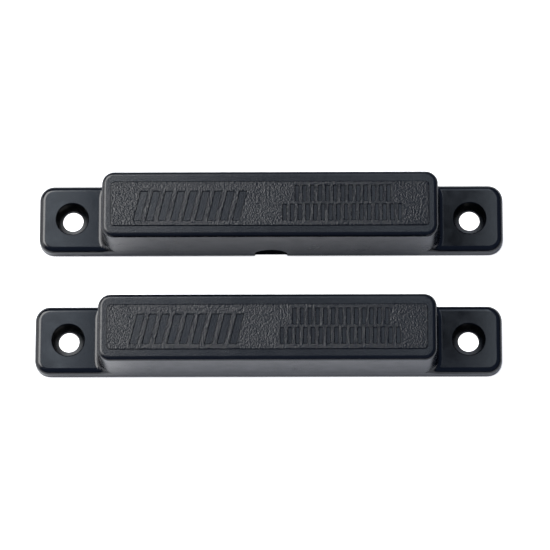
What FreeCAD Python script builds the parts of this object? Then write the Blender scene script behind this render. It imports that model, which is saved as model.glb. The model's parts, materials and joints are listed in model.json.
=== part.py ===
# Surface-mount magnetic door contact: a reed switch half and a magnet half, side by side.
#
# Frame, in millimetres: +Z points up from the mounting face, +X runs along both housings, and
# -Y points from the switch half towards the magnet half. The origin is midway between the
# switch half's two screw holes, on the mounting face.
#
# Each half is an open-backed moulding with two screw ears. The switch half holds a circuit
# board with a glass reed switch and two screw terminals, and its front wall has a notch for the
# installer's cable. The magnet half holds a bar magnet behind a screwed retainer.
import FreeCAD, Part
import math
import os

# Housings, the same moulding for both halves
LENGTH = 80.0               # over both ears
WIDTH = 11.8
HEIGHT = 13.4               # to the smooth border of the top face
EAR_THICKNESS = 2.85
EAR_CORNER_RADIUS = 2.5
EAR_EDGE_RADIUS = 1.0       # round along the ears' upper edges, and hollow round up to the body
BODY_LENGTH = 57.5          # where the body meets the ears
BODY_CORNER_RADIUS = 2.3
BODY_EDGE_RADIUS = 0.75
DRAFT_INSET = 0.2           # how far each wall leans in from the ear to the top
WALL = 1.4
ROOF = 1.5
CAVITY_CORNER_RADIUS = 1.0

# Mounting holes
HOLE_SPACING = 68.6
HOLE_RADIUS = 1.8
HOLE_RIM_RADIUS = 2.75
HOLE_LIP = 1.1              # straight part under the cone
HOLE_RIM_ROUND = 0.15

# Raised pad on the top face, with sunk bars in place of lettering
PAD_LENGTH = 54.1
PAD_WIDTH = 7.8
PAD_RISE = 0.2
PAD_CORNER_RADIUS = 0.7
PAD_RIM_CHAMFER = 0.15
MARK_DEPTH = 0.17
MARK_SLOPE = 0.13           # how far each wall of a mark leans out, from floor to mouth
BIG_BAR = 1.1
SMALL_BAR = 0.55
BIG_HEIGHT = 5.0
SMALL_HEIGHT = 2.7

# Cable notch in the switch half's front wall
NOTCH_RADIUS = 2.8
NOTCH_HEIGHT = 4.1

# How the two halves stand to each other with the door shut
MAGNET_UNIT_X = -0.4
MAGNET_UNIT_Y = -21.35

# Bosses and their thread-forming screws, the same in both halves
BOSS_X = 24.2
BOSS_RADIUS = 1.9
SMALL_SCREW_RADIUS = 0.8
SMALL_SCREW_HEAD_RADIUS = 1.6
SMALL_SCREW_HEAD = 1.1
SMALL_SCREW_LENGTH = 3.2
FREE_HOLE_RADIUS = 0.9

# Circuit board, hung under the roof
BOARD_LENGTH = 53.2
BOARD_WIDTH = 8.2
BOARD_THICKNESS = 1.2
BOARD_UNDERSIDE = 8.0
PLATE_CORNER_RADIUS = 0.8   # the board's corners and the retainer's
COPPER = 0.1
TRACK_WIDTH = 1.0
LEAD_HOLE_RADIUS = 0.45
LEAD_RISE = 0.3             # how far leads stand out of the board's top

# Reed switch, along the back wall under the board
REED_Y = 2.75
REED_Z = 6.5
GLASS_RADIUS = 1.2
GLASS_BORE = 0.85
GLASS_LENGTH = 17.0
SEAL_LENGTH = 2.0
LEAD_RADIUS = 0.3
LEAD_BEND = 0.8
LEAD_X = 12.0               # where a lead turns up into the board
BLADE_WIDTH = 1.1
BLADE_THICKNESS = 0.2
BLADE_OFFSET = 0.12         # of a blade's middle from the glass axis
BLADE_OVERLAP = 0.6         # past the middle of the glass
BLADE_ROOT_GAP = 0.05

# Screw terminals, under the board, with their heads towards the open back
TERMINAL_X = 16.6
TERMINAL_Y = -1.3
PLATE_LENGTH = 7.4
PLATE_WIDTH = 5.4
PLATE_THICKNESS = 1.2
CLAMP_LENGTH = 6.2
CLAMP_WIDTH = 5.2
CLAMP_THICKNESS = 0.8
CLAMP_HOLE_RADIUS = 1.6
M3_RADIUS = 1.45
M3_PLATE_RADIUS = 1.5
M3_HEAD_RADIUS = 2.5
M3_HEAD = 1.8
M3_SHANK = 4.7
SHANK_HOLE_RADIUS = 1.8     # in the board, over each terminal
TAB_THICKNESS = 0.7
TAB_WIDTH = 2.0
TAB_RISE = 0.6              # how far a tab stands out of the board's top
TAB_SLOT_GAP = 0.2          # round each tab in its slot
SCREW_TURNED = {"left": 25.0, "right": -40.0}   # degrees that each slot stands turned

# Magnet and its retainer
MAGNET_LENGTH = 40.0
MAGNET_WIDTH = 6.4
MAGNET_THICKNESS = 5.8
MAGNET_PAD = 0.3
RETAINER_THICKNESS = 1.2

# Heights and positions worked out from the above
ROOF_UNDERSIDE = HEIGHT - ROOF
CAVITY_LENGTH = BODY_LENGTH - 2 * WALL
CAVITY_WIDTH = WIDTH - 2 * WALL
BOARD_TOP = BOARD_UNDERSIDE + BOARD_THICKNESS
COPPER_UNDERSIDE = BOARD_UNDERSIDE - COPPER
PLATE_UNDERSIDE = COPPER_UNDERSIDE - PLATE_THICKNESS
CLAMP_UNDERSIDE = PLATE_UNDERSIDE - CLAMP_THICKNESS
TAB_X = TERMINAL_X + (PLATE_LENGTH - TAB_THICKNESS) / 2
SEAL_X = GLASS_LENGTH / 2 - SEAL_LENGTH
MAGNET_TOP = ROOF_UNDERSIDE - MAGNET_PAD
MAGNET_UNDERSIDE = MAGNET_TOP - MAGNET_THICKNESS
SIDES = {"left": -1, "right": 1}

V = FreeCAD.Vector
UP = V(0, 0, 1)


# ---- shapes that many pieces are made of

def block(length, width, bottom, top, x=0.0, y=0.0):
    """Upright block, with x and y at its middle."""
    return Part.makeBox(length, width, top - bottom, V(x - length / 2, y - width / 2, bottom))


def post(radius, bottom, top, x=0.0, y=0.0):
    """Upright cylinder."""
    return Part.makeCylinder(radius, top - bottom, V(x, y, bottom))


def rounded_outline(length, width, radius, z):
    """Closed outline of a rectangle with round corners, at height z."""
    half_x = length / 2 - radius
    half_y = width / 2 - radius
    slope = radius / math.sqrt(2)
    edges = []
    corners = [(1, 1), (-1, 1), (-1, -1), (1, -1)]
    for index, (side_x, side_y) in enumerate(corners):
        centre = V(side_x * half_x, side_y * half_y, z)
        on_side = centre + V(side_x * radius, 0, 0)
        on_face = centre + V(0, side_y * radius, 0)
        middle = centre + V(side_x * slope, side_y * slope, 0)
        start, end = (on_side, on_face) if side_x == side_y else (on_face, on_side)
        if edges:
            edges.append(Part.makeLine(edges[-1].valueAt(edges[-1].LastParameter), start))
        edges.append(Part.Arc(start, middle, end).toShape())
    first = edges[0].valueAt(edges[0].FirstParameter)
    edges.append(Part.makeLine(edges[-1].valueAt(edges[-1].LastParameter), first))
    return Part.Wire(edges)


def rounded_block(length, width, radius, bottom, top, x=0.0, y=0.0):
    """Upright block with round corners in plan."""
    solid = Part.Face(rounded_outline(length, width, radius, bottom)).extrude(V(0, 0, top - bottom))
    solid.translate(V(x, y, 0))
    return solid


def edges_at(shape, z):
    """The edges that lie flat at height z."""
    found = []
    for edge in shape.Edges:
        box = edge.BoundBox
        if abs(box.ZMin - z) < 1e-4 and abs(box.ZMax - z) < 1e-4:
            found.append(edge)
    return found


def joined(shapes):
    """One solid from several that touch or overlap."""
    return shapes[0].fuse(shapes[1:]).removeSplitter()


def mirrored(shape, side):
    """The piece as built on the +X side, or its mirror image for the left side."""
    return shape if side > 0 else shape.mirror(V(0, 0, 0), V(1, 0, 0))


def headed_screw(shank_radius, shank, head_radius, head, drive, at):
    """A screw that points up, with its head's bearing face at the point given."""
    body = Part.makeCylinder(head_radius, head, V(0, 0, -head))
    body = body.makeFillet(head * 0.35, edges_at(body, -head))
    stem = Part.makeCylinder(shank_radius, shank)
    stem = stem.makeChamfer(shank_radius * 0.25, edges_at(stem, shank))
    screw = joined([body, stem])
    screw = screw.cut(drive)
    screw.translate(at)
    return screw


# ---- the moulding that both halves share

def raised_body():
    """The box between the ears: upright to the height of their tops, then leaning in."""
    foot = rounded_block(BODY_LENGTH, WIDTH, BODY_CORNER_RADIUS, 0.0, EAR_THICKNESS)
    low = rounded_outline(BODY_LENGTH, WIDTH, BODY_CORNER_RADIUS, EAR_THICKNESS)
    high = rounded_outline(BODY_LENGTH - 2 * DRAFT_INSET, WIDTH - 2 * DRAFT_INSET,
                           BODY_CORNER_RADIUS - DRAFT_INSET, HEIGHT)
    walls = Part.makeLoft([low, high], True, True)
    walls = walls.makeFillet(BODY_EDGE_RADIUS, edges_at(walls, HEIGHT))
    return joined([foot, walls])


def solid_moulding():
    """Ears and body as one, before it is hollowed out. The ears' upper edges are rounded, and so
    is the corner where their tops meet the body's ends."""
    plate = rounded_block(LENGTH, WIDTH, EAR_CORNER_RADIUS, 0.0, EAR_THICKNESS)
    moulding = joined([plate, raised_body()])
    return moulding.makeFillet(EAR_EDGE_RADIUS, edges_at(moulding, EAR_THICKNESS))


def sunk_bar(width, height, slant, x, y):
    """Cutter for one bar, wider at the mouth than at its floor; slant shifts its far end."""
    top = HEIGHT + PAD_RISE
    floor = top - MARK_DEPTH
    left = x - (width + slant) / 2
    low = y - height / 2
    corners = [V(left, low, floor), V(left + width, low, floor),
               V(left + width + slant, low + height, floor), V(left + slant, low + height, floor)]
    base = Part.makePolygon(corners + corners[:1])
    mouth = base.makeOffset2D(MARK_SLOPE, 2, False, False, False)
    mouth.translate(V(0, 0, MARK_DEPTH))
    return Part.makeLoft([base, mouth], True, True)


def bar_row(count, total, width, height, slant, x, y):
    """Cutters for a row of bars, evenly spaced over a total length."""
    pitch = (total - width - slant) / (count - 1)
    first = x - pitch * (count - 1) / 2
    return [sunk_bar(width, height, slant, first + index * pitch, y) for index in range(count)]


def top_pad():
    """The raised pad, with the marks sunk into it."""
    pad = rounded_block(PAD_LENGTH, PAD_WIDTH, PAD_CORNER_RADIUS, HEIGHT - 0.1,
                        HEIGHT + PAD_RISE)
    pad = pad.makeChamfer(PAD_RIM_CHAMFER, edges_at(pad, HEIGHT + PAD_RISE))
    big = bar_row(count=9, total=19.1, width=BIG_BAR, height=BIG_HEIGHT, slant=1.2,
                  x=-13.5, y=-0.4)
    far = bar_row(count=13, total=16.1, width=SMALL_BAR, height=SMALL_HEIGHT, slant=0.0,
                  x=12.4, y=1.75)
    near = bar_row(count=16, total=20.1, width=SMALL_BAR, height=SMALL_HEIGHT, slant=0.0,
                   x=12.3, y=-1.55)
    return pad.cut(big + far + near)


def screw_hole(x):
    """Cutter for one mounting hole: a short straight part, a cone, and a broken rim."""
    bend = EAR_THICKNESS - HOLE_RIM_ROUND
    straight = post(HOLE_RADIUS, -1.0, HOLE_LIP + 0.1, x)
    cone = Part.makeCone(HOLE_RADIUS, HOLE_RIM_RADIUS, bend - HOLE_LIP, V(x, 0, HOLE_LIP))
    rim = Part.makeCone(HOLE_RIM_RADIUS, HOLE_RIM_RADIUS + HOLE_RIM_ROUND, HOLE_RIM_ROUND,
                        V(x, 0, bend))
    mouth = post(HOLE_RIM_RADIUS + HOLE_RIM_ROUND, EAR_THICKNESS, EAR_THICKNESS + 1.0, x)
    return straight.fuse([cone, rim, mouth])


def housing_shell():
    """The moulding without the details inside: ears, body, pad, holes and open back."""
    shell = joined([solid_moulding(), top_pad()])
    cavity = rounded_block(CAVITY_LENGTH, CAVITY_WIDTH, CAVITY_CORNER_RADIUS, -1.0, ROOF_UNDERSIDE)
    holes = [screw_hole(side * HOLE_SPACING / 2) for side in SIDES.values()]
    return shell.cut([cavity] + holes)


def bosses(bottom):
    """Two posts under the roof, each with a blind hole for a thread-forming screw."""
    made = []
    for side in SIDES.values():
        solid = post(BOSS_RADIUS, bottom, ROOF_UNDERSIDE + 0.1, side * BOSS_X)
        hole = post(SMALL_SCREW_RADIUS, bottom - 1.0, bottom + SMALL_SCREW_LENGTH - 1.0,
                    side * BOSS_X)
        made.append(solid.cut(hole))
    return made


def small_screws(bearing):
    """The two screws that hold a plate against the bosses, with cross recesses."""
    arm = 1.7
    slot = 0.45
    depth = 0.6
    low = -SMALL_SCREW_HEAD - 1.0
    drive = block(arm, slot, low, -SMALL_SCREW_HEAD + depth)
    drive = drive.fuse(block(slot, arm, low, -SMALL_SCREW_HEAD + depth))
    screws = []
    for side in SIDES.values():
        screws.append(headed_screw(SMALL_SCREW_RADIUS, SMALL_SCREW_LENGTH, SMALL_SCREW_HEAD_RADIUS,
                                   SMALL_SCREW_HEAD, drive, V(side * BOSS_X, 0, bearing)))
    return Part.makeCompound(screws)


# ---- switch half

def switch_housing():
    """The moulding with ribs over the board, and the cable notch in its front wall."""
    rib_x = 6.0
    ribs = [block(1.0, CAVITY_WIDTH + 0.2, BOARD_TOP, ROOF_UNDERSIDE + 0.1, side * rib_x)
            for side in SIDES.values()]
    housing = joined([housing_shell()] + bosses(BOARD_TOP) + ribs)
    spring_line = NOTCH_HEIGHT - NOTCH_RADIUS
    start = -WIDTH / 2 - 1.0
    reach = WALL + 1.2
    arch = Part.makeCylinder(NOTCH_RADIUS, reach, V(0, start, spring_line), V(0, 1, 0))
    legs = Part.makeBox(2 * NOTCH_RADIUS, reach, spring_line + 1.0, V(-NOTCH_RADIUS, start, -1.0))
    return housing.cut(arch.fuse(legs))


def terminal_openings(side):
    """Cutters through board and copper for a terminal screw's shank and a plate's tab."""
    shank = post(SHANK_HOLE_RADIUS, 0.0, HEIGHT, side * TERMINAL_X, TERMINAL_Y)
    tab = block(TAB_THICKNESS + 2 * TAB_SLOT_GAP, TAB_WIDTH + 2 * TAB_SLOT_GAP, 0.0, HEIGHT,
                side * TAB_X, TERMINAL_Y)
    return [shank, tab]


def circuit_board():
    """Board with holes for its two screws, the reed's leads and the terminals."""
    board = rounded_block(BOARD_LENGTH, BOARD_WIDTH, PLATE_CORNER_RADIUS, BOARD_UNDERSIDE,
                          BOARD_TOP)
    cuts = []
    for side in SIDES.values():
        cuts.append(post(FREE_HOLE_RADIUS, 0.0, HEIGHT, side * BOSS_X))
        cuts.append(post(LEAD_HOLE_RADIUS, 0.0, HEIGHT, side * LEAD_X, REED_Y))
        cuts += terminal_openings(side)
    return board.cut(cuts)


def copper_trace(side):
    """The track from a terminal plate's pad to the ring round a reed lead."""
    low, high = COPPER_UNDERSIDE, BOARD_UNDERSIDE
    ring_radius = 1.1
    turn_x = 13.9
    end_x = turn_x + TRACK_WIDTH / 2
    pad = block(PLATE_LENGTH, PLATE_WIDTH, low, high, TERMINAL_X, TERMINAL_Y)
    ring = post(ring_radius, low, high, LEAD_X, REED_Y)
    across = block(end_x - LEAD_X, TRACK_WIDTH, low, high, (end_x + LEAD_X) / 2, REED_Y)
    along = block(TRACK_WIDTH, REED_Y, low, high, turn_x, (REED_Y + TRACK_WIDTH) / 2)
    trace = joined([pad, ring, across, along])
    lead_hole = post(LEAD_RADIUS + COPPER / 2, 0.0, HEIGHT, LEAD_X, REED_Y)
    return mirrored(trace.cut([lead_hole] + terminal_openings(1)), side)


def reed_glass():
    """Tube with a thick seal at each end, bored only for the leads."""
    start = V(-GLASS_LENGTH / 2, REED_Y, REED_Z)
    along = V(1, 0, 0)
    tube = Part.makeCylinder(GLASS_RADIUS, GLASS_LENGTH, start, along)
    end_round = 0.7
    tube = tube.makeFillet(end_round, [edge for edge in tube.Edges if edge.Closed])
    bore = Part.makeCylinder(GLASS_BORE, 2 * SEAL_X, V(-SEAL_X, REED_Y, REED_Z), along)
    lead_bore = Part.makeCylinder(LEAD_RADIUS, GLASS_LENGTH, start, along)
    return tube.cut([bore, lead_bore])


def reed_lead(side):
    """Round wire from inside the seal, out along the reed, then up through the board."""
    turn = LEAD_X - LEAD_BEND
    slope = LEAD_BEND * (1 - 1 / math.sqrt(2))
    start = V(SEAL_X, REED_Y, REED_Z)
    bend_start = V(turn, REED_Y, REED_Z)
    bend_middle = V(LEAD_X - slope, REED_Y, REED_Z + slope)
    bend_end = V(LEAD_X, REED_Y, REED_Z + LEAD_BEND)
    top = V(LEAD_X, REED_Y, BOARD_TOP + LEAD_RISE)
    path = Part.Wire([Part.makeLine(start, bend_start),
                      Part.Arc(bend_start, bend_middle, bend_end).toShape(),
                      Part.makeLine(bend_end, top)])
    section = Part.Wire([Part.makeCircle(LEAD_RADIUS, start, V(1, 0, 0))])
    return mirrored(path.makePipeShell([section], True, False), side)


def reed_blade(side):
    """Flat spring contact; the two blades' tips overlap in the middle of the glass."""
    root = SEAL_X - BLADE_ROOT_GAP
    length = root + BLADE_OVERLAP
    middle = REED_Z - side * BLADE_OFFSET
    blade = block(length, BLADE_WIDTH, middle - BLADE_THICKNESS / 2, middle + BLADE_THICKNESS / 2,
                  side * (root - length / 2), REED_Y)
    return blade


def reed_pad(side):
    """Silicone saddle between the glass and the board."""
    size = 2.0
    reach_down = 0.4
    saddle = block(size, size, REED_Z + reach_down, BOARD_UNDERSIDE, side * 5.6, REED_Y)
    glass = Part.makeCylinder(GLASS_RADIUS, GLASS_LENGTH, V(-GLASS_LENGTH / 2, REED_Y, REED_Z),
                              V(1, 0, 0))
    return saddle.cut(glass)


def lead_solder(side):
    """Cone of solder under the copper ring, round the lead."""
    height = 0.7
    cone = Part.makeCone(LEAD_RADIUS + 0.1, 0.9, height, V(LEAD_X, REED_Y, COPPER_UNDERSIDE - height))
    return mirrored(cone.cut(reed_lead(1)), side)


def terminal_plate(side):
    """Threaded plate with a tab that stands up through the board."""
    plate = block(PLATE_LENGTH, PLATE_WIDTH, PLATE_UNDERSIDE, COPPER_UNDERSIDE,
                  TERMINAL_X, TERMINAL_Y)
    corners = [edge for edge in plate.Edges if edge.BoundBox.ZLength > 1.0]
    plate = plate.makeFillet(0.5, corners)
    tab = block(TAB_THICKNESS, TAB_WIDTH, PLATE_UNDERSIDE, BOARD_TOP + TAB_RISE, TAB_X,
                TERMINAL_Y)
    thread = post(M3_PLATE_RADIUS, 0.0, HEIGHT, TERMINAL_X, TERMINAL_Y)
    return mirrored(joined([plate, tab]).cut(thread), side)


def terminal_clamp(side):
    """Square pressure plate under the screw's head, grooved on top for the wires."""
    clamp = block(CLAMP_LENGTH, CLAMP_WIDTH, CLAMP_UNDERSIDE, PLATE_UNDERSIDE,
                  TERMINAL_X, TERMINAL_Y)
    clamp = clamp.makeFillet(0.2, edges_at(clamp, CLAMP_UNDERSIDE))
    cuts = [post(CLAMP_HOLE_RADIUS, 0.0, HEIGHT, TERMINAL_X, TERMINAL_Y)]
    groove_radius = 0.45
    groove_x = 2.3
    groove_start = TERMINAL_Y - CLAMP_WIDTH / 2 - 0.5
    for offset in (-groove_x, groove_x):
        start = V(TERMINAL_X + offset, groove_start, PLATE_UNDERSIDE + groove_radius / 3)
        cuts.append(Part.makeCylinder(groove_radius, CLAMP_WIDTH + 1.0, start, V(0, 1, 0)))
    return mirrored(clamp.cut(cuts), side)


def terminal_screw(name):
    """M3 screw whose head looks down, out of the open back, with a slot across it."""
    slot_width = 0.8
    slot_depth = 0.9
    slot = block(2 * M3_HEAD_RADIUS + 1.0, slot_width, -M3_HEAD - 1.0, -M3_HEAD + slot_depth)
    slot.rotate(V(0, 0, 0), UP, SCREW_TURNED[name])
    return headed_screw(M3_RADIUS, M3_SHANK, M3_HEAD_RADIUS, M3_HEAD, slot,
                        V(SIDES[name] * TERMINAL_X, TERMINAL_Y, CLAMP_UNDERSIDE))


def tab_solder(side):
    """Mound of solder round a tab, on top of the board."""
    mound = Part.makeCone(1.5, 0.8, 0.5, V(TAB_X, TERMINAL_Y, BOARD_TOP))
    tab = block(TAB_THICKNESS, TAB_WIDTH, 0.0, HEIGHT, TAB_X, TERMINAL_Y)
    return mirrored(mound.cut(tab), side)


# ---- magnet half, built about its own middle and moved into place when it is saved

def magnet_housing():
    """The moulding with ribs that stop the magnet at its ends and hold it at its sides."""
    stop_thickness = 1.0
    stop_x = (MAGNET_LENGTH + stop_thickness) / 2 + 0.1
    ribs = [block(stop_thickness, CAVITY_WIDTH + 0.2, 7.5, ROOF_UNDERSIDE + 0.1, side * stop_x)
            for side in SIDES.values()]
    rib_depth = (CAVITY_WIDTH - MAGNET_WIDTH) / 2
    for x in (-12.0, 0.0, 12.0):
        for side in SIDES.values():
            ribs.append(block(1.2, rib_depth, 6.5, ROOF_UNDERSIDE + 0.1, x,
                              side * (CAVITY_WIDTH / 2 - rib_depth / 2 + 0.1)))
    return joined([housing_shell()] + bosses(MAGNET_UNDERSIDE) + ribs)


def bar_magnet():
    bar = block(MAGNET_LENGTH, MAGNET_WIDTH, MAGNET_UNDERSIDE, MAGNET_TOP)
    return bar.makeChamfer(0.3, bar.Edges)


def magnet_pad():
    """Thin foam between the magnet and the roof."""
    return rounded_block(MAGNET_LENGTH - 4.0, MAGNET_WIDTH - 1.4, 0.5, MAGNET_TOP, ROOF_UNDERSIDE)


def magnet_retainer():
    """Plate under the magnet, with two windows and a hole for each screw."""
    plate = rounded_block(BOARD_LENGTH, BOARD_WIDTH, PLATE_CORNER_RADIUS,
                          MAGNET_UNDERSIDE - RETAINER_THICKNESS, MAGNET_UNDERSIDE)
    holes = [post(FREE_HOLE_RADIUS, 0.0, HEIGHT, side * BOSS_X) for side in SIDES.values()]
    windows = [rounded_block(9.0, 4.0, 1.0, 0.0, MAGNET_UNDERSIDE + 1.0, x) for x in (-12.0, 12.0)]
    return plate.cut(holes + windows)


# ---- saving

def save(name, shape):
    shape.exportStep("parts/" + name + ".step")
    print(name, "solids", len(shape.Solids), "valid", shape.isValid(),
          "volume", round(shape.Volume, 3))


def save_switch_half():
    save("switch_housing", switch_housing())
    save("circuit_board", circuit_board())
    save("board_screws", small_screws(BOARD_UNDERSIDE))
    save("reed_glass", reed_glass())
    for name, side in SIDES.items():
        save("copper_trace_" + name, copper_trace(side))
        save("reed_lead_" + name, reed_lead(side))
        save("reed_blade_" + name, reed_blade(side))
        save("reed_pad_" + name, reed_pad(side))
        save("lead_solder_" + name, lead_solder(side))
        save("terminal_plate_" + name, terminal_plate(side))
        save("terminal_clamp_" + name, terminal_clamp(side))
        save("terminal_screw_" + name, terminal_screw(name))
        save("tab_solder_" + name, tab_solder(side))


def save_magnet_half():
    pieces = {
        "magnet_housing": magnet_housing(),
        "bar_magnet": bar_magnet(),
        "magnet_pad": magnet_pad(),
        "magnet_retainer": magnet_retainer(),
        "retainer_screws": small_screws(MAGNET_UNDERSIDE - RETAINER_THICKNESS),
    }
    for name, shape in pieces.items():
        shape.translate(V(MAGNET_UNIT_X, MAGNET_UNIT_Y, 0))
        save(name, shape)


os.makedirs("parts", exist_ok=True)
save_switch_half()
save_magnet_half()
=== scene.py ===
import bmesh
import bpy
import json
import math
from mathutils import Matrix, Vector


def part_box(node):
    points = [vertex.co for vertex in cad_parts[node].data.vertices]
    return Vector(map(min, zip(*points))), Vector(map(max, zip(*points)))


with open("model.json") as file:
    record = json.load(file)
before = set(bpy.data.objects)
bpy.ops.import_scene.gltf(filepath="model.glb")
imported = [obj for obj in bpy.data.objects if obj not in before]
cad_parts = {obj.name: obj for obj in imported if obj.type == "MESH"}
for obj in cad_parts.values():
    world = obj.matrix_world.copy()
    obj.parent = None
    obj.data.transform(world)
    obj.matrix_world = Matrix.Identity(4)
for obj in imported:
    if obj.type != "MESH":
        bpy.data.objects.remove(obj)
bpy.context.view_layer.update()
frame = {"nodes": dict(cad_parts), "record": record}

MM = 0.001
# Housings
HOUSINGS = ("switch_housing", "magnet_housing")
HOLE_SPACING = 68.6 * MM
HOLE_RIM_RADIUS = 2.75 * MM
PAD_RISE = 0.2 * MM                # pad top over the smooth border round it
MARK_FLOOR = 0.06 * MM             # over the border: above the floors of the marks sunk in the pad
PAD_SIDE = 0.14 * MM               # over the border: where the pad's grain is full
FACE_EDGE = (0.4 * MM, 0.1 * MM)   # below a top face: where its finish begins, and is full
EAR_TOP = 2.85 * MM
WALL_FOOT = (0.02 * MM, 0.1 * MM)  # over the ears: where the walls' finish begins, and is full
UNDER_BODY = (27.4 * MM, 5.73 * MM)  # half sizes of the floor patch painted dark, as shade, seen through the cable notch
CROWN = 0.68 * MM                  # how far the top face falls away at CROWN_REACH from its crest
CROWN_REACH = 28.8 * MM
CROWN_MIDDLE = -6.8 * MM           # where the crest is, from the middle of a half
EAR_CROWN = 0.02 * MM              # how far an ear falls away at HOLE_REACH from its hole
HOLE_REACH = 4.5 * MM
ORANGE_PEEL = (0.7 * MM, 0.002 * MM)  # size and depth
GRAIN = (0.31 * MM, 0.26 * MM)     # sizes of the pad's ridges and pits
GRAIN_DEPTH = 0.15 * MM
PIT_SHARE = -0.35                  # of the pits in the grain
BORDER_GRAIN = 0.12                # how much of the grain shows on the border
EAR_GLOSS, WALL_GLOSS, PAD_GLOSS = 0.15, 0.24, 0.29
PLASTIC = ((0.0019, 0.0024, 0.0040, 1), (0.0026, 0.0032, 0.0052, 1))
# painted shade: colour of the screw holes' walls, darker than the plastic, for the shade inside them
HOLE_PAINTED_SHADE = (0.0005, 0.0006, 0.0008, 1)

# Camera
CAMERA_TARGET = Vector((0.68, -9.35, 0.0)) * MM
CAMERA_DISTANCE = 584.9 * MM
CAMERA_TILT = 13.05                # degrees from straight down, towards -Y
CAMERA_PAN = 1.018                 # degrees towards +X
CAMERA_ROLL = 0.094
CAMERA_LENS = 221.6                # mm, on a 36 mm sensor

# Floor and room
FLOOR_SIZE = 4.0
FLOOR_COLOUR = (0.96, 0.96, 0.96, 1)
FLOOR_GLOW = 0.95                  # extra light that only the camera sees, as on an overexposed sweep
BACKDROP = (0.80, 0.81, 0.82, 1)
# painted shade: the darkest floor colour, for the shade near the halves and under the switch half's
# cavity
FLOOR_PAINTED_SHADE = (0.01, 0.01, 0.01, 1)
ROOM = (0.10, 0.14, 0.25, 1)
HORIZON = (0.10, 0.50)             # heights in the sky, as sines, where the room starts and is full
SHADE_REACH = 14 * MM              # of the broad painted shade that the halves cast on the floor
EDGE_REACH = 1.6 * MM              # of the painted shade, a darker floor colour, along their walls
CONTACT_REACH = 0.35 * MM          # of the painted contact shadow, a line of less glow where they touch it
# For each reach: openness where the floor is darkest and fully lit, and how much of its colour or
# glow is left at those
SHADE = (0.28, 0.50, 0.70, 1.0)
EDGE_SHADE = (0.50, 0.95, 0.55, 1.0)
CONTACT_SHADE = (0.5, 0.85, 0.0, FLOOR_GLOW)
FLAG_SIZE = (0.060, 0.122, 1)      # of the dark card over the halves
FLAG_PLACE = (0.043, 0.139, 0.57)

# Lights
CEILING = 0.90
CEILING_FAR = (0.10, 1.0)          # along Y
COOL = (0.82, 0.92, 1.0)
WARM = (1.0, 0.995, 0.98)
CEILING_LIGHTS = (                 # name, edges along X, radiance
    ("ceiling middle", -0.105, 0.085, 0.5),
    ("ceiling strip", -0.14, -0.105, 3.6),
    ("ceiling left", -0.25, -0.14, 0.4),
    ("ceiling right", 0.085, 0.20, 2.2),
)
FLOOR_MIDDLE = (0, -0.03, 0)
OVER_FLOOR = (0, 0, 0.01)          # what the lights at the left point at


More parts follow.
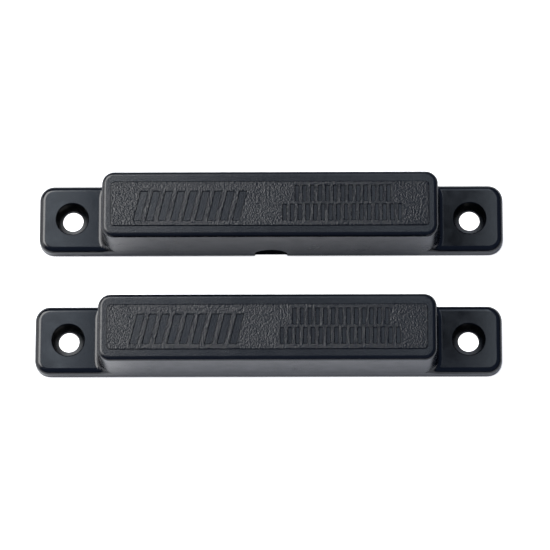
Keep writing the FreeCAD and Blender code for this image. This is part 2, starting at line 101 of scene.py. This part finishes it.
class Nodes:
    """A material's node tree, with short calls for the nodes that the materials here need."""

    def __init__(self, name):
        self.material = bpy.data.materials.new(name)
        self.material.use_nodes = True
        self.tree = self.material.node_tree
        self.shader = self.tree.nodes["Principled BSDF"]
        self.place = self.add("ShaderNodeTexCoord").outputs["Object"]

    def add(self, kind, **settings):
        node = self.tree.nodes.new(kind)
        for name, value in settings.items():
            setattr(node, name, value)
        return node

    def feed(self, socket, value):
        """Links an output to a socket, or sets the socket to a plain value."""
        if isinstance(value, bpy.types.NodeSocket):
            self.tree.links.new(value, socket)
        else:
            socket.default_value = value

    def set(self, **inputs):
        """Sets the shader's inputs, named with underscores for spaces."""
        for name, value in inputs.items():
            self.feed(self.shader.inputs[name.replace("_", " ")], value)

    def calc(self, operation, first, second=0.0):
        node = self.add("ShaderNodeMath", operation=operation)
        self.feed(node.inputs[0], first)
        self.feed(node.inputs[1], second)
        return node.outputs[0]

    def stretched(self, scale):
        """The place, scaled along each axis, for grain that runs one way."""
        node = self.add("ShaderNodeMapping")
        self.feed(node.inputs["Vector"], self.place)
        node.inputs["Scale"].default_value = scale
        return node.outputs[0]

    def noise(self, size, detail=3.0, place=None):
        """Cloudy noise from 0 to 1 whose largest features measure about size."""
        node = self.add("ShaderNodeTexNoise")
        self.feed(node.inputs["Vector"], place or self.place)
        node.inputs["Scale"].default_value = 1 / size
        node.inputs["Detail"].default_value = detail
        return node.outputs["Fac"]

    def cells(self, size, feature="F1"):
        """Distance to the nearest of many scattered points, about size apart."""
        node = self.add("ShaderNodeTexVoronoi", feature=feature)
        self.feed(node.inputs["Vector"], self.place)
        node.inputs["Scale"].default_value = 1 / size
        return node.outputs["Distance"]

    def remap(self, value, low, high, to_low, to_high):
        """Value stretched from low..high to to_low..to_high, and held inside them."""
        node = self.add("ShaderNodeMapRange")
        for index, part in enumerate((value, low, high, to_low, to_high)):
            self.feed(node.inputs[index], part)
        return node.outputs[0]

    def blend(self, factor, first, second):
        """Mix of two numbers."""
        node = self.add("ShaderNodeMix", data_type="FLOAT")
        for index, part in ((0, factor), (2, first), (3, second)):
            self.feed(node.inputs[index], part)
        return node.outputs[0]

    def tint(self, factor, first, second):
        """Mix of two colours."""
        node = self.add("ShaderNodeMix", data_type="RGBA")
        for index, part in ((0, factor), (6, first), (7, second)):
            self.feed(node.inputs[index], part)
        return node.outputs[2]

    def axes(self):
        """The place's three coordinates."""
        node = self.add("ShaderNodeSeparateXYZ")
        self.feed(node.inputs[0], self.place)
        return node.outputs

    def from_holes(self, centre):
        """Distance in plan from the nearer screw hole of the half that has this centre."""
        x, y, _ = self.axes()
        along = self.calc("SUBTRACT", self.calc("ABSOLUTE", self.calc("SUBTRACT", x, centre.x)),
                          HOLE_SPACING / 2)
        across = self.calc("SUBTRACT", y, centre.y)
        return self.calc("SQRT", self.calc("ADD", self.calc("POWER", along, 2.0),
                                           self.calc("POWER", across, 2.0)))

    def openness(self, reach):
        """1 in the open, and less where something stands within reach."""
        node = self.add("ShaderNodeAmbientOcclusion", samples=8)
        node.inputs["Distance"].default_value = reach
        return node.outputs["AO"]

    def bump(self, relief, depth, strength=1.0, under=None):
        """Relief from 0 to 1 turned into a normal, for a surface depth deep."""
        node = self.add("ShaderNodeBump")
        self.feed(node.inputs["Strength"], strength)
        node.inputs["Distance"].default_value = depth
        self.feed(node.inputs["Height"], relief)
        if under:
            self.feed(node.inputs["Normal"], under)
        return node.outputs[0]


# ---- materials

def black_housing(node):
    """Black ABS: glossy walls, border and ears, a coarse moulded grain on the pad, and painted shade in
    the screw holes, whose walls are coloured darker than the plastic.
    """
    low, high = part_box(node)
    centre = (low + high) / 2
    n = Nodes("black " + node.replace("_", " "))
    x, _, z = n.axes()
    border = high.z - PAD_RISE
    on_pad = n.remap(z, border + MARK_FLOOR, border + PAD_SIDE, 0.0, 1.0)
    on_top = n.remap(z, border - FACE_EDGE[0], border - FACE_EDGE[1], 0.0, 1.0)
    above_ears = n.remap(z, EAR_TOP + WALL_FOOT[0], EAR_TOP + WALL_FOOT[1], 0.0, 1.0)
    over_ears = n.remap(z, EAR_TOP - FACE_EDGE[0], EAR_TOP - FACE_EDGE[1], 0.0, 1.0)
    on_ear = n.calc("SUBTRACT", over_ears, above_ears)
    hole_distance = n.from_holes(centre)
    in_hole = n.remap(hole_distance, HOLE_RIM_RADIUS, HOLE_RIM_RADIUS + 0.1 * MM, 1.0, 0.0)
    cloud = n.noise(9 * MM, 2.0)
    smears = n.noise(2.2 * MM, 4.0)
    # painted shade: the screw holes' walls take a darker colour than the plastic
    n.set(Base_Color=n.tint(in_hole, n.tint(cloud, *PLASTIC), HOLE_PAINTED_SHADE))
    worn = n.calc("ADD", n.remap(smears, 0.3, 0.7, -0.03, 0.03),
                  n.remap(cloud, 0.3, 0.7, -0.015, 0.015))
    gloss = n.calc("ADD", n.blend(above_ears, EAR_GLOSS, WALL_GLOSS), worn)
    n.set(Roughness=n.blend(on_pad, gloss, PAD_GLOSS))
    from_crest = n.calc("DIVIDE", n.calc("SUBTRACT", x, centre.x + CROWN_MIDDLE), CROWN_REACH)
    from_hole = n.calc("DIVIDE", hole_distance, HOLE_REACH)
    crown = n.calc("MULTIPLY", n.calc("POWER", from_crest, 2.0), -1.0)
    ear_crown = n.calc("MULTIPLY", n.calc("POWER", from_hole, 2.0), -1.0)
    shape = n.bump(crown, CROWN, on_top)
    shape = n.bump(ear_crown, EAR_CROWN, on_ear, shape)
    shape = n.bump(n.noise(ORANGE_PEEL[0], 3.0), ORANGE_PEEL[1], 1.0, shape)
    ridges, pits = n.noise(GRAIN[0], 2.0), n.cells(GRAIN[1])
    pebbles = n.calc("ADD", ridges, n.calc("MULTIPLY", pits, PIT_SHARE))
    on_border = n.calc("MULTIPLY", on_top, BORDER_GRAIN)
    n.set(Normal=n.bump(pebbles, GRAIN_DEPTH, n.remap(on_pad, 0.0, 1.0, on_border, 1.0), shape))
    return n.material


def green_board():
    """Glass-fibre board under green solder mask, with the weave just showing through."""
    n = Nodes("green board")
    weave = n.cells(0.5 * MM)
    n.set(Base_Color=n.tint(n.remap(weave, 0.1, 0.6, 0.0, 1.0), (0.006, 0.055, 0.022, 1),
                            (0.012, 0.085, 0.035, 1)))
    n.set(Roughness=n.remap(n.noise(3 * MM), 0.3, 0.7, 0.25, 0.38))
    n.set(Normal=n.bump(weave, 0.01 * MM, 0.4), Coat_Weight=0.3)
    return n.material


def metal(name, low, high, roughness, grain_depth, patch=1.5 * MM, along=(1, 1, 1)):
    """Metal whose colour drifts between two tones in patches, with a fine grain."""
    n = Nodes(name)
    tone = n.remap(n.noise(patch, 3.0), 0.3, 0.7, 0.0, 1.0)
    n.set(Base_Color=n.tint(tone, low, high), Metallic=1.0)
    grain = n.noise(0.12 * MM, 3.0, n.stretched(along))
    n.set(Roughness=n.remap(grain, 0.25, 0.75, roughness * 0.75, roughness * 1.3))
    n.set(Normal=n.bump(grain, grain_depth))
    return n.material


def reed_glass():
    """Clear glass with a green tint."""
    n = Nodes("reed glass")
    n.set(Base_Color=n.tint(n.noise(2 * MM), (0.80, 0.93, 0.86, 1), (0.86, 0.96, 0.90, 1)))
    n.set(Roughness=n.remap(n.noise(0.6 * MM), 0.3, 0.7, 0.01, 0.05), IOR=1.52, Transmission_Weight=1.0)
    return n.material


def soft(name, low, high, roughness, pore, depth):
    """Silicone or foam: a matt skin with pores."""
    n = Nodes(name)
    pores = n.cells(pore)
    n.set(Base_Color=n.tint(n.remap(pores, 0.1, 0.6, 0.0, 1.0), low, high))
    n.set(Roughness=roughness, Normal=n.bump(pores, depth))
    return n.material


def ferrite():
    """Sintered ferrite, ground on its faces, with fine pits."""
    n = Nodes("ferrite")
    lines = n.noise(0.15 * MM, 3.0, n.stretched((0.08, 1, 1)))
    pits = n.remap(n.cells(0.35 * MM), 0.0, 0.16, 0.0, 1.0)
    n.set(Base_Color=n.tint(n.noise(1.5 * MM), (0.020, 0.021, 0.024, 1), (0.036, 0.037, 0.041, 1)))
    n.set(Metallic=0.35, Roughness=n.remap(lines, 0.3, 0.7, 0.38, 0.55))
    n.set(Normal=n.bump(pits, 0.02 * MM, 0.7, n.bump(lines, 0.006 * MM)))
    return n.material


def retainer_plastic():
    """Matt black ABS with a light spark-eroded texture."""
    n = Nodes("retainer plastic")
    n.set(Base_Color=n.tint(n.noise(4 * MM), (0.010, 0.010, 0.011, 1), (0.016, 0.016, 0.018, 1)))
    n.set(Roughness=n.remap(n.noise(0.5 * MM), 0.3, 0.7, 0.45, 0.6))
    n.set(Normal=n.bump(n.noise(0.2 * MM, 2.0), 0.012 * MM))
    return n.material


def finish_nodes():
    """Gives every CAD node the finish of its material slot."""
    finishes = {
        "board": green_board(),
        "steel": metal("zinc-plated steel", (0.58, 0.60, 0.62, 1), (0.74, 0.73, 0.68, 1), 0.24,
                       0.002 * MM),
        "glass": reed_glass(),
        "copper": metal("copper track", (0.62, 0.26, 0.13, 1), (0.80, 0.42, 0.24, 1), 0.30, 0.003 * MM),
        "nickel": metal("nickel iron", (0.52, 0.49, 0.44, 1), (0.62, 0.59, 0.54, 1), 0.22, 0.002 * MM,
                        along=(0.1, 1, 1)),
        "silicone": soft("silicone", (0.62, 0.62, 0.58, 1), (0.74, 0.74, 0.70, 1), 0.5, 0.3 * MM,
                         0.005 * MM),
        "solder": metal("solder", (0.60, 0.61, 0.62, 1), (0.78, 0.78, 0.79, 1), 0.16, 0.002 * MM,
                        0.4 * MM),
        "brass": metal("tinned brass", (0.66, 0.50, 0.22, 1), (0.78, 0.66, 0.40, 1), 0.28, 0.003 * MM,
                       along=(1, 0.1, 1)),
        "magnet": ferrite(),
        "foam": soft("foam", (0.008, 0.008, 0.008, 1), (0.022, 0.022, 0.022, 1), 0.9, 0.25 * MM,
                     0.05 * MM),
        "retainer": retainer_plastic(),
    }
    for part in frame["record"]["subparts"]:
        node = part["node"]
        mesh = frame["nodes"][node].data
        mesh.materials.clear()
        finish = black_housing(node) if node in HOUSINGS else finishes[part["material_slot"]]
        mesh.materials.append(finish)


# ---- floor, room, light and camera

def floor_finish():
    """Pale sweep that the camera sees overexposed, with painted shade: its colour and glow darken where
    the halves stand on it.
    The camera sees it plain white through the screw holes, and painted dark as shade in the switch half's
    cavity."""
    n = Nodes("pale sweep")
    seen = n.add("ShaderNodeLightPath").outputs["Is Camera Ray"]
    x, y, _ = n.axes()
    # painted shade: the floor under the switch half's cavity is coloured dark and gets no glow
    inside_x = n.calc("LESS_THAN", n.calc("ABSOLUTE", x), UNDER_BODY[0])
    inside_y = n.calc("LESS_THAN", n.calc("ABSOLUTE", y), UNDER_BODY[1])
    outside = n.calc("SUBTRACT", 1.0, n.calc("MULTIPLY", inside_x, inside_y))
    # painted shade: the floor's colour darkens by occlusion near the halves
    open_air = n.calc("MULTIPLY", n.remap(n.openness(SHADE_REACH), *SHADE),
                      n.remap(n.openness(EDGE_REACH), *EDGE_SHADE))
    open_air = n.calc("MULTIPLY", open_air, n.remap(n.noise(40 * MM, 2.0), 0.3, 0.7, 0.985, 1.0))
    n.set(Base_Color=n.tint(n.calc("MULTIPLY", open_air, outside), FLOOR_PAINTED_SHADE, FLOOR_COLOUR))
    # painted contact shadow: the glow fades where the halves touch the floor
    glow = n.calc("MULTIPLY", outside, n.remap(n.openness(CONTACT_REACH), *CONTACT_SHADE))
    for housing in HOUSINGS:
        low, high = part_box(housing)
        in_hole = n.calc("LESS_THAN", n.from_holes((low + high) / 2), HOLE_RIM_RADIUS)
        glow = n.calc("ADD", glow, in_hole)
    n.set(Roughness=0.7, Specular_IOR_Level=0.2, Emission_Color=(1, 1, 1, 1))
    n.set(Emission_Strength=n.calc("MULTIPLY", seen, glow))
    return n.material


def add_floor():
    mesh = bpy.data.meshes.new("floor")
    shape = bmesh.new()
    bmesh.ops.create_grid(shape, x_segments=1, y_segments=1, size=FLOOR_SIZE / 2)
    shape.to_mesh(mesh)
    shape.free()
    mesh.materials.append(floor_finish())
    floor = bpy.data.objects.new("floor", mesh)
    bpy.context.scene.collection.objects.link(floor)


def add_room():
    """A dim room, black at the horizon, for the gloss to mirror, and a pale backdrop for the camera."""
    world = bpy.data.worlds.new("room")
    world.use_nodes = True
    bpy.context.scene.world = world
    tree = world.node_tree
    links = tree.links.new
    direction = tree.nodes.new("ShaderNodeSeparateXYZ")
    links(tree.nodes.new("ShaderNodeTexCoord").outputs["Generated"], direction.inputs[0])
    rise = tree.nodes.new("ShaderNodeMapRange")
    links(direction.outputs[2], rise.inputs[0])
    rise.inputs[1].default_value, rise.inputs[2].default_value = HORIZON
    seen = tree.nodes.new("ShaderNodeLightPath").outputs["Is Camera Ray"]
    colour = (0, 0, 0, 1)
    for factor, target in ((rise.outputs[0], ROOM), (seen, BACKDROP)):
        mix = tree.nodes.new("ShaderNodeMix")
        mix.data_type = "RGBA"
        links(factor, mix.inputs[0])
        if isinstance(colour, tuple):
            mix.inputs[6].default_value = colour
        else:
            links(colour, mix.inputs[6])
        mix.inputs[7].default_value = target
        colour = mix.outputs[2]
    links(colour, tree.nodes["Background"].inputs["Color"])


def add_softbox(name, place, target, width, height, radiance, colour):
    """Area light of a given brightness per area, so that its mirror image keeps that brightness."""
    light = bpy.data.lights.new(name, "AREA")
    light.shape = "RECTANGLE"
    light.size = width
    light.size_y = height
    light.energy = radiance * math.pi * width * height
    light.color = colour
    holder = bpy.data.objects.new(name, light)
    holder.location = place
    holder.rotation_mode = "QUATERNION"
    holder.rotation_quaternion = (Vector(target) - Vector(place)).to_track_quat("-Z", "Y")
    holder.visible_camera = False
    bpy.context.scene.collection.objects.link(holder)
    return holder


def add_flag():
    """Dark card over the halves, outside the camera's view, whose mirror image darkens the right ears."""
    mesh = bpy.data.meshes.new("flag")
    shape = bmesh.new()
    bmesh.ops.create_grid(shape, x_segments=1, y_segments=1, size=0.5)
    bmesh.ops.scale(shape, vec=FLAG_SIZE, verts=shape.verts)
    bmesh.ops.translate(shape, vec=FLAG_PLACE, verts=shape.verts)
    shape.to_mesh(mesh)
    shape.free()
    n = Nodes("flag")
    n.set(Base_Color=n.tint(n.noise(20 * MM), (0.010, 0.010, 0.012, 1), (0.016, 0.016, 0.018, 1)))
    n.set(Roughness=0.9, Specular_IOR_Level=0.1)
    mesh.materials.append(n.material)
    flag = bpy.data.objects.new("flag", mesh)
    flag.visible_camera = False
    flag.visible_shadow = False
    flag.visible_diffuse = False
    bpy.context.scene.collection.objects.link(flag)


def add_ceiling(name, x_low, x_high, radiance):
    """Softbox that faces straight down, given by its edges along X."""
    y_low, y_high = CEILING_FAR
    x, y = (x_low + x_high) / 2, (y_low + y_high) / 2
    add_softbox(name, (x, y, CEILING), (x, y, 0), x_high - x_low, y_high - y_low, radiance, COOL)


def add_lights():
    """Ceiling panels for the tops' gloss, a key from the upper left, and low light for the floor."""
    for panel in CEILING_LIGHTS:
        add_ceiling(*panel)
    add_softbox("key", (-0.50, 0.25, 0.80), OVER_FLOOR, 0.9, 0.52, 7.0, WARM)
    add_softbox("low left", (-0.85, 0.0, 0.30), OVER_FLOOR, 0.9, 0.35, 2.2, WARM)
    fill = add_softbox("floor fill", (0.25, -0.85, 0.45), FLOOR_MIDDLE, 0.6, 0.4, 4.5, WARM)
    fill.visible_glossy = False


def add_camera():
    lens = bpy.data.cameras.new("camera")
    lens.lens = CAMERA_LENS
    lens.clip_start = 0.05
    lens.clip_end = 10.0
    camera = bpy.data.objects.new("camera", lens)
    turn = (Matrix.Rotation(math.radians(CAMERA_PAN), 4, "Y")
            @ Matrix.Rotation(math.radians(CAMERA_TILT), 4, "X")
            @ Matrix.Rotation(math.radians(CAMERA_ROLL), 4, "Z"))
    back = Matrix.Translation((0, 0, CAMERA_DISTANCE))
    camera.matrix_world = Matrix.Translation(CAMERA_TARGET) @ turn @ back
    bpy.context.scene.collection.objects.link(camera)
    bpy.context.scene.camera = camera
    bpy.context.scene.view_settings.view_transform = "Standard"


finish_nodes()
add_floor()
add_room()
add_flag()
add_lights()
add_camera()
